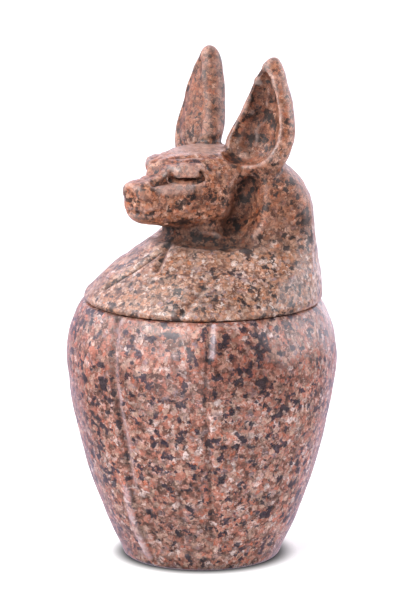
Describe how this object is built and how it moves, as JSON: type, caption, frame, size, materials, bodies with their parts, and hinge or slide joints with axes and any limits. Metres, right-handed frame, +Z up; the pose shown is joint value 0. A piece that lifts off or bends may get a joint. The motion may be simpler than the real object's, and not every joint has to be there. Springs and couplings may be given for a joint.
{
  "type": "canopic jar",
  "caption": "Canopic jar carved in polished pink granite, its lift-off lid a jackal's head with tall ears and a wig.",
  "frame": {"origin": "centre of the jar's underside, on the surface it stands on", "axes": "+Z up along the jar's axis; the jackal looks along -Y; +X is the jackal's left"},
  "size_m": [0.0822, 0.0822, 0.1534],
  "materials": {
    "jar_granite": "semi-polished pink granite, speckled pale, pink-orange, tan and black",
    "lid_granite": "semi-polished pink granite, speckled pale, pink-orange, tan and black"
  },
  "bodies": {
    "root": {"jar": "jar_granite", "lid": "lid_granite"}
  },
  "joints": []
}
